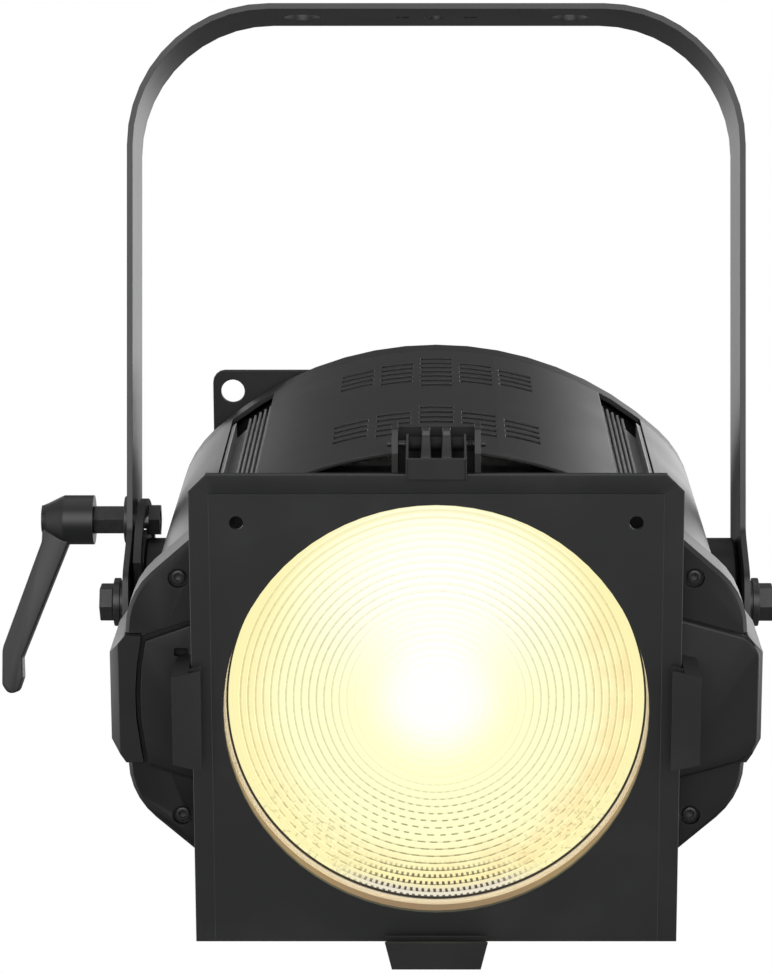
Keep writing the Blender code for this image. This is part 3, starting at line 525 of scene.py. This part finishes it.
def facingFront(points):
    # u across, v up, depth along the head's y
    return points[:, [0, 2, 1]]


def roundedLoop(corners, radius, steps=5):
    # each corner gives way to a quadratic arc that starts and ends `radius` from it
    corners = np.asarray(corners, float)
    radius = np.broadcast_to(np.asarray(radius, float), len(corners))[:, None]
    back = np.roll(corners, 1, 0) - corners
    ahead = np.roll(corners, -1, 0) - corners
    start = corners + back / np.linalg.norm(back, axis=1, keepdims=True) * radius
    end = corners + ahead / np.linalg.norm(ahead, axis=1, keepdims=True) * radius
    share = np.linspace(0, 1, steps)[None, :, None]
    arcs = start[:, None] * (1 - share) ** 2 + corners[:, None] * 2 * share * (1 - share)
    return (arcs + end[:, None] * share ** 2).reshape(-1, 2)


def joined(*parts):
    # several (points, faces) sets as one
    points, faces, start = [], [], 0
    for partPoints, partFaces in parts:
        points.append(partPoints)
        faces += [[int(corner) + start for corner in face] for face in partFaces]
        start += len(partPoints)
    return np.concatenate(points), faces


# the seal depth is the front of the near-black strip, painted shade in the groove and pocket
panelShape = {"front": -186.6, "back": -177.5, "edge": 0.9, "inner": 113.6, "right": -187.4, "shadeSealFront": -183.0,
              "pocket": (-128.9, 25.2, 3.7, 2.3)}
grooveCurve = [(149.2, 40), (149.4, 31), (151.6, 18), (152.6, 4), (152.4, -10), (150.6, -24), (149.0, -34),
               (149.0, -40)]                           # (distance from the middle, height)
shieldOutline = [(113.6, 45.2), (127, 41.5), (156.6, 33.2), (163.6, 25.2), (163.6, -22.6), (157, -32.4),
                 (127, -41), (113.6, -44.8)]


def makeLeftPod():
    # the frame's pod, cut back along a bowed groove, beside a door panel, with a near-black seal strip in the
    # groove as painted shade
    pod = roundedCopy("side_pod_left", castCoat, 0.9)
    inner = [(-u, v) for u, v in grooveCurve]
    cutter = cutFlat([inner + [(-120, -40), (-120, 40)]], -200, -180.5, 0.01, 0)
    block = newPiece("door_groove", facingFront(cutter[0]), cutter[1], castCoat, "head", "powder_alloy")
    applyCut(pod, [block])
    door = [(-u + 2.4, v) for u, v in grooveCurve[1:-1]]
    inside = -panelShape["inner"]
    outline = door + [(-126, -41.2), (inside, -44.6), (inside, 42.4), (-126, 38.6)]
    points, faces = cutFlat([outline], panelShape["front"], panelShape["back"], panelShape["edge"], 3)
    panel = newPiece("casting_door_left", facingFront(points), faces, castCoat, "head", "powder_alloy",
                     sharp=25)
    # the pocket opens onto the near-black strip below it, so it shows as painted shade
    u, v, wide, high = panelShape["pocket"]
    pocket = [(u - wide, v - high), (u + wide, v - high), (u + wide, v + high), (u - wide, v + high)]
    points, faces = cutFlat([roundedLoop(pocket, 1.4, 4)], -190, panelShape["shadeSealFront"] + 0.1, 0.01, 0)
    applyCut(panel, [newPiece("door_pocket", facingFront(points), faces, castCoat, "head", "powder_alloy")])
    # painted shade: a near-black seal strip filling the groove and lying under the pocket
    grown = [(p - 2.2, q + (1.4 if q > 0 else -2.1) * (abs(q) > 30)) for p, q in door]
    grown += [(-126, -43.4), (inside, -46.8), (inside, 43.8), (-126, 40.1)]
    points, faces = cutFlat([grown], panelShape["shadeSealFront"], -180.6, 0.05, 0)
    newPiece("door_shade_seal", facingFront(points), faces, paintedShadeRubber, "head", "soft_rubber")


def makeRightPod():
    # one smooth shield over the pod, sloping off at its top and foot
    roundedCopy("side_pod_right", castCoat, 0.9)
    outline = roundedLoop(shieldOutline, (1, 1, 2, 3, 4, 4, 1, 1), 5)
    points, faces = cutFlat([outline], panelShape["right"], -180.2, 1.6, 4)
    newPiece("casting_shield_right", facingFront(points), faces, castCoat, "head", "powder_alloy", sharp=25)


def applyCut(piece, cutters):
    # cuts other pieces' shapes out of a piece and leaves one plain mesh
    bevels = [m for m in piece.modifiers if m.type == "BEVEL"]
    settings = [(m.width, m.segments) for m in bevels]
    piece.modifiers.clear()
    for cutter in cutters:
        cut = piece.modifiers.new("cut", "BOOLEAN")
        cut.solver, cut.object, cut.operation = "EXACT", cutter, "DIFFERENCE"
    bpy.context.view_layer.update()
    ready = bpy.data.meshes.new_from_object(piece.evaluated_get(bpy.context.evaluated_depsgraph_get()))
    piece.modifiers.clear()
    old = piece.data
    piece.data = ready
    ready.name = piece.name
    tidyMesh(ready, 32, recalculate=False)
    bpy.data.meshes.remove(old)
    for width, segments in settings:
        softenEdges(piece, width * 1000, segments)
    for cutter in cutters:
        bpy.data.objects.remove(cutter)


screwLook = {"head": 3.7, "socket": 2.0, "top": -179.6, "seat": -177.3, "out": 130.3,
             "heights": (62.5, -63.5)}


def socketScrew(x, z, radius, socket, top, seat, around=48):
    # cap screw: a rounded cap whose inner rings turn six-sided for the key
    turn = np.linspace(0, 2 * math.pi, around, endpoint=False)
    sixSided = math.cos(math.pi / 6) / np.cos((turn % (math.pi / 3)) - math.pi / 6)
    rings = [(radius, seat, 0), (radius, top + 0.7, 0), (radius - 0.2, top + 0.2, 0), (radius - 0.7, top, 0),
             (socket + 0.35, top, 1), (socket, top + 0.35, 1), (socket, seat - 0.9, 1), (0.02, seat - 0.6, 1)]
    radii = np.array([r * (sixSided if six else np.ones(around)) for r, _, six in rings])
    depths = np.array([[d] for _, d, _ in rings])
    points = np.stack([x + radii * np.sin(turn), np.broadcast_to(depths, radii.shape),
                       z + radii * np.cos(turn)], -1)
    faces = [list(face) for face in gridFaces(len(rings), around, False, True)]
    faces.append(list(range(around)))
    faces.append(list(range((len(rings) - 1) * around, len(rings) * around))[::-1])
    return points.reshape(-1, 3), faces


def makeCastingScrews():
    # one cap screw in each of the casting's corner recesses
    for side, name in ((-1, "left"), (1, "right")):
        screws = [socketScrew(side * screwLook["out"], z, screwLook["head"], screwLook["socket"],
                              screwLook["top"], screwLook["seat"]) for z in screwLook["heights"]]
        points, faces = joined(*screws)
        newPiece("casting_screws_" + name, points, faces, darkZinc, "head", "zinc_steel")


makeLeftPod()
makeRightPod()
makeCastingScrews()
print("casting made")


hemShape = {"half": 122.5, "cut": 8.7, "width": 10.0, "front": -207.25, "back": -206.4, "bottom": -121.6,
            "gap": 0.3}


def makeHems():
    # a flat section carried along each side; the three strips meet in mitres at the chamfered corners
    half, cut, width, gap = hemShape["half"], hemShape["cut"], hemShape["width"], hemShape["gap"]
    front, back = hemShape["front"], hemShape["back"]
    section = [(0.0, back), (0.0, front + 0.3), (0.02, front + 0.08), (0.05, front), (0.94, front),
               (0.98, front + 0.08), (1.0, front + 0.25), (1.0, back)]
    share = np.array([s for s, _ in section])[None, :, None]
    inner = half - width
    bottom = hemShape["bottom"]
    side = (np.array([(half, bottom), (half, half - cut), (half - cut / 2, half - cut / 2 - gap)]),
            np.array([(inner, bottom), (inner, inner - 4), (inner, inner - gap)]))
    top = (np.array([(half - cut / 2 - gap, half - cut / 2), (half - cut, half), (cut - half, half),
                     (cut / 2 - half + gap, half - cut / 2)]),
           np.array([(inner - gap, inner), (inner - 4, inner), (4 - inner, inner), (gap - inner, inner)]))
    left = tuple(edge * (-1, 1) for edge in side)
    strips = []
    for outside, inside in (left, top, side):
        flat = outside[:, None] * (1 - share) + inside[:, None] * share
        depth = np.broadcast_to(np.array([d for _, d in section])[None, :], flat.shape[:2])
        points = np.stack([flat[..., 0], depth, flat[..., 1]], -1).reshape(-1, 3)
        faces = [list(face) for face in gridFaces(len(outside), len(section), False, True)]
        faces += [list(range(len(section))), list(range(len(points) - len(section), len(points)))[::-1]]
        strips.append((points, faces))
    points, faces = joined(*strips)
    newPiece("colour_frame_hems", points, faces, steelCoat, "head", "powder_steel", sharp=12)


makeHems()
print("colour frame made")

latchShape = {
    "pin": (-192.0, 134.5), "half": 15.0, "wall": 1.4, "hub": 3.4, "rib": 5.1, "foot": 2.6, "lean": 0.05,
    "bar": (21.6, -182.6, -181.2, 116.8, 141.4),       # half width, front, back, foot, top
    # side outlines about the pin: back, up
    "cheekOutline": [(-2, -4), (3, -2.4), (3, 3), (-2, 5.4), (-12.4, 1.2), (-17.7, -3.5), (-17.7, -14.4),
                     (-15.6, -14.4), (-15.6, -7)],
    "ribOutline": [(-2, -5), (-15.9, -9), (-15.9, -3.5), (-12.6, 1.4), (-5.4, 5.2), (-4.6, 7.6), (-3, 8.1),
                   (1.4, 8.1), (3.2, 2)],
}


def blockOf(low, high):
    # a block's eight corners and six faces
    points = np.array([(x, y, z) for z in (low[2], high[2]) for y in (low[1], high[1])
                       for x in (low[0], high[0])], float)
    return points, [[0, 2, 3, 1], [4, 5, 7, 6], [0, 1, 5, 4], [2, 6, 7, 3], [0, 4, 6, 2], [1, 3, 7, 5]]


def bladeOf(outline, low, high, lean=0.0):
    # a side outline (y, z) given width in x; half the width falls by the lean for each
    # millimetre above the first point
    outline = np.asarray(outline, float)
    middle, half = (low + high) / 2, (high - low) / 2 - lean * np.clip(outline[:, 1] - outline[0, 1], 0, None)
    sides = [np.column_stack([middle + side * half, outline]) for side in (-1, 1)]
    count = len(outline)
    faces = [list(range(count))[::-1], list(range(count, 2 * count))]
    faces += [[i, (i + 1) % count, (i + 1) % count + count, i + count] for i in range(count)]
    return np.concatenate(sides), faces


def makeLatch():
    # flap: cheeks, a front plate that leaves the pocket open above it, two tapered ribs and the hub, which is
    # coloured near-black as painted shade
    y, z = latchShape["pin"]
    half, wall = latchShape["half"], latchShape["wall"]
    cheek = np.add(latchShape["cheekOutline"], (y, z))
    rib = np.add(latchShape["ribOutline"], (y, z))
    parts = [bladeOf(cheek, side * half, side * (half - wall)) for side in (-1, 1)]
    foot = latchShape["foot"]
    for middle in (-latchShape["rib"], latchShape["rib"]):
        parts.append(bladeOf(rib, middle - foot, middle + foot, latchShape["lean"]))
    parts.append(blockOf((-half + 0.2, y - 17.7, z - 14.4), (half - 0.2, y - 15.6, z - 3.5)))
    turn = np.linspace(0, 2 * math.pi, 24, endpoint=False)
    rings = np.array([(-half, 1.9), (-half, latchShape["hub"]), (half, latchShape["hub"]), (half, 1.9)])
    hub = np.stack([np.repeat(rings[:, :1], 24, 1), y + rings[:, 1:] * np.cos(turn),
                    z + rings[:, 1:] * np.sin(turn)], -1)
    # painted shade: the hub takes the near-black rubber so it reads as shade behind the flap
    newPiece("latch_hub", hub.reshape(-1, 3), gridFaces(4, 24, True, True), paintedShadeRubber, "latch",
             slotOf["latch_flap"])
    points, faces = joined(*parts)
    flap = newPiece("latch_flap_shape", points, faces, steelCoat, "latch", slotOf["latch_flap"],
                    ("latch_flap",))
    softenEdges(flap, 0.35)
    width, front, back, low, high = latchShape["bar"]
    wallOf = blockOf((-width, front, low), (width, back, high))
    softenEdges(newPiece("latch_back_wall", *wallOf, castCoat, "head", slotOf["latch_bracket"]), 0.4)
    roundedCopy("latch_bracket", castCoat, 0.4)


makeLatch()
print("latch made")


lensShape = {"front": -187.2, "back": -180.2, "radius": 107.6, "pitch": 3.85, "rise": 1.5, "around": 240}


def turnedGrid(profile, around):
    # (radius, depth) pairs carried once round the head's y axis
    turn = np.linspace(0, 2 * math.pi, around, endpoint=False)[None, :]
    radius, depth = np.asarray(profile, float).T[:, :, None]
    grid = np.broadcast_arrays(radius * np.sin(turn), depth, radius * np.cos(turn))
    return np.stack(grid, -1).reshape(-1, 3)


def makeLens():
    # a saw-tooth of arcs: each step falls back with the square of its share of the pitch
    pitch, rise = lensShape["pitch"], lensShape["rise"]
    count = int(lensShape["radius"] / pitch)
    starts = np.arange(count)[:, None] * pitch
    share = np.array([0.02, 0.25, 0.5, 0.75, 0.93, 0.985])[None, :]
    radius = (starts + share * pitch).ravel()
    depth = (lensShape["front"] + rise * share ** 1.6 * (0.25 + 0.75 * starts / lensShape["radius"])).ravel()
    edge = lensShape["radius"]
    profile = np.concatenate([np.stack([radius, depth], 1),
                              [[edge - 0.6, lensShape["front"] + 0.8], [edge, lensShape["front"] + 1.6],
                               [edge, lensShape["back"] - 0.4], [edge - 0.6, lensShape["back"]],
                               [edge * 0.5, lensShape["back"]], [0.02, lensShape["back"]]]])
    points = turnedGrid(profile, lensShape["around"])
    faces = [list(face) for face in gridFaces(len(profile), lensShape["around"], False, True)]
    around = lensShape["around"]
    faces.append(list(range(around)))
    faces.append(list(range(len(points) - around, len(points)))[::-1])
    lens = newPiece("stepped_lens", points, faces, lensGlow(), "head", "lens_glass", ("lens",), sharp=40)
    lens.data.materials.append(lensBack())
    middles = np.empty(len(lens.data.polygons) * 3)
    lens.data.polygons.foreach_get("center", middles)
    depths = (middles.reshape(-1, 3) - pivotPoint) @ backWay * 1000
    lens.data.polygons.foreach_set("material_index", (depths > lensShape["front"] + 2.4).astype(int))


makeLens()


def makeWall():
    # sleeve between the casting's lens tube and the glass, and the ring that holds the glass
    sleeve = [(108.45, -202.6), (108.45, -189.9), (108.0, -189.9), (107.85, -202.6)]
    ring = [(108.2, -187.3), (105.4, -187.3), (105.4, -188.2), (105.7, -188.6), (106.3, -188.7),
            (106.5, -189.2), (106.9, -189.6), (108.2, -189.6)]
    # both pieces take the painted lens glow and the painted gap shade
    finish = glowPaintedWall()
    newPiece("lens_sleeve", turnedGrid(sleeve, 160), gridFaces(len(sleeve), 160, True, True), finish, "head",
             slotOf["front_casting"])
    newPiece("lens_ring", turnedGrid(ring, 160), gridFaces(len(ring), 160, True, True), finish, "head",
             slotOf["lens_retainer"], ("lens_retainer",))


makeWall()
print("lens made")


cameraPlace = {"back": -1.905, "height": -0.2987, "focal": 125.8, "shift": (-0.0517, 0.0601)}
camera = bpy.data.objects.new("camera", bpy.data.cameras.new("camera"))
bpy.context.scene.collection.objects.link(camera)
camera.location = (0, cameraPlace["back"], cameraPlace["height"])
camera.rotation_euler = (math.radians(90), 0, 0)
camera.data.lens = cameraPlace["focal"]
camera.data.shift_x, camera.data.shift_y = cameraPlace["shift"]
camera.data.clip_end = 50
bpy.context.scene.camera = camera

studio = {
    "floorDrop": 0.16, "floorHalf": 6.0,
    "ambient": 0.13, "sides": 2.8, "camera": 3.3, "above": 0.8, "flanks": 1.8,
}


def makeFloor():
    half = studio["floorHalf"]
    low = cadBounds[0][2] - studio["floorDrop"]
    corners = [(-half, -half, low), (half, -half, low), (half, half, low), (-half, half, low)]
    mesh = bpy.data.meshes.new("floor")
    mesh.from_pydata(corners, [], [(0, 1, 2, 3)])
    floor = bpy.data.objects.new("floor", mesh)
    bpy.context.scene.collection.objects.link(floor)
    finish = Finish("paleFloor")
    drift = finish.noise(400, 2)
    finish.set(Base_Color=finish.mix(drift, (0.5, 0.5, 0.5), (0.54, 0.54, 0.54)),
               Roughness=0.9 + drift * 0.05)
    bright = finish.node("ShaderNodeEmission", None, {"Color": (1.0, 1.0, 1.0)})
    shown = finish.node("ShaderNodeMixShader", None, {
        0: finish.node("ShaderNodeLightPath").out("Is Camera Ray"),
        1: Socket(finish, finish.shader.outputs[0]), 2: bright})
    finish.join(finish.tree.nodes["Material Output"].inputs["Surface"], shown)
    mesh.materials.append(finish.material)
    floor.visible_glossy = False


def makeWorld():
    # white backdrop to the camera; for light, soft boxes behind on both sides, one beside the
    # camera and one overhead, with dark between them
    world = bpy.data.worlds.new("studio")
    bpy.context.scene.world = world
    world.use_nodes = True
    sky = Finish.__new__(Finish)
    sky.tree = world.node_tree
    way = sky.node("ShaderNodeSeparateXYZ", None, {0: sky.node("ShaderNodeTexCoord").out("Generated")})
    x, y, z = way.out("X"), way.out("Y"), way.out("Z")
    outward = x.maths("ABSOLUTE") + x.ramp(-0.05, 0.05) * 0.08
    flanks = x.maths("ABSOLUTE").ramp(0.72, 0.97)
    sides = outward.ramp(0.22, 0.4) * y.ramp(0.15, 0.7) * (1 - z.ramp(0.34, 0.6)) * z.ramp(-0.2, 0.04)
    near = (0 - y).ramp(0.72, 0.98) * z.ramp(-0.42, 0.05)
    above = z.ramp(0.7, 0.96)
    light = studio["ambient"] + sides * studio["sides"] + near * studio["camera"] + above * studio["above"] \
        + flanks * studio["flanks"]
    seen = sky.node("ShaderNodeLightPath").out("Is Camera Ray")
    sky.join(world.node_tree.nodes["Background"].inputs["Strength"], seen + (1 - seen) * light)
    sky.join(world.node_tree.nodes["Background"].inputs["Color"], (1.0, 1.0, 1.0))


makeFloor()
makeWorld()
bpy.context.scene.view_settings.view_transform = "Standard"
print("studio made")
